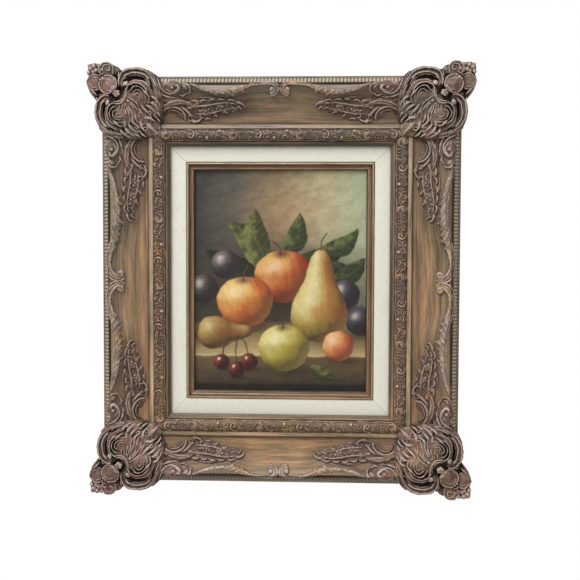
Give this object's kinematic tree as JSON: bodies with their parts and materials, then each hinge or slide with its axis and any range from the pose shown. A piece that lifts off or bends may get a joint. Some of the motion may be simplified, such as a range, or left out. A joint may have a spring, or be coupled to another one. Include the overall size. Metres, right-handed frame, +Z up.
{
  "type": "framed oil painting",
  "caption": "Framed oil painting: canvas on a stretcher in a gilt fillet, linen liner and wide carved moulding with cast corner cartouches, hung by a sawtooth plate.",
  "frame": {"origin": "middle of the hanger plate's back, which rests against the wall", "axes": "+X to the right seen from the front, +Z up, -Y out of the picture's front and +Y into the wall"},
  "size_m": [0.4228, 0.0509, 0.4791],
  "materials": {
    "moulding": "antiqued: a streaked golden-brown cove with grey-brown rubbed ornament over red clay",
    "cartouche": "antiqued grey-brown, dark in the hollows and rubbed pale on the ridges",
    "linen": "natural cream linen, glued over wood",
    "fillet": "dull gilt over brown",
    "canvas": "oil paint on primed canvas, lightly varnished",
    "bare_wood": "planed, unfinished softwood",
    "steel": "plain zinc-plated sheet"
  },
  "bodies": {
    "root": {"rail_top": "moulding", "rail_right": "moulding", "rail_bottom": "moulding", "rail_left": "moulding", "corner_top_left": "cartouche", "corner_top_right": "cartouche", "corner_bottom_right": "cartouche", "corner_bottom_left": "cartouche", "liner_top": "linen", "liner_right": "linen", "liner_bottom": "linen", "liner_left": "linen", "fillet_top": "fillet", "fillet_right": "fillet", "fillet_bottom": "fillet", "fillet_left": "fillet", "canvas": "canvas", "stretcher_top": "bare_wood", "stretcher_right": "bare_wood", "stretcher_bottom": "bare_wood", "stretcher_left": "bare_wood", "hanger": "steel", "hanger_nail_left": "steel", "hanger_nail_right": "steel"}
  },
  "joints": []
}
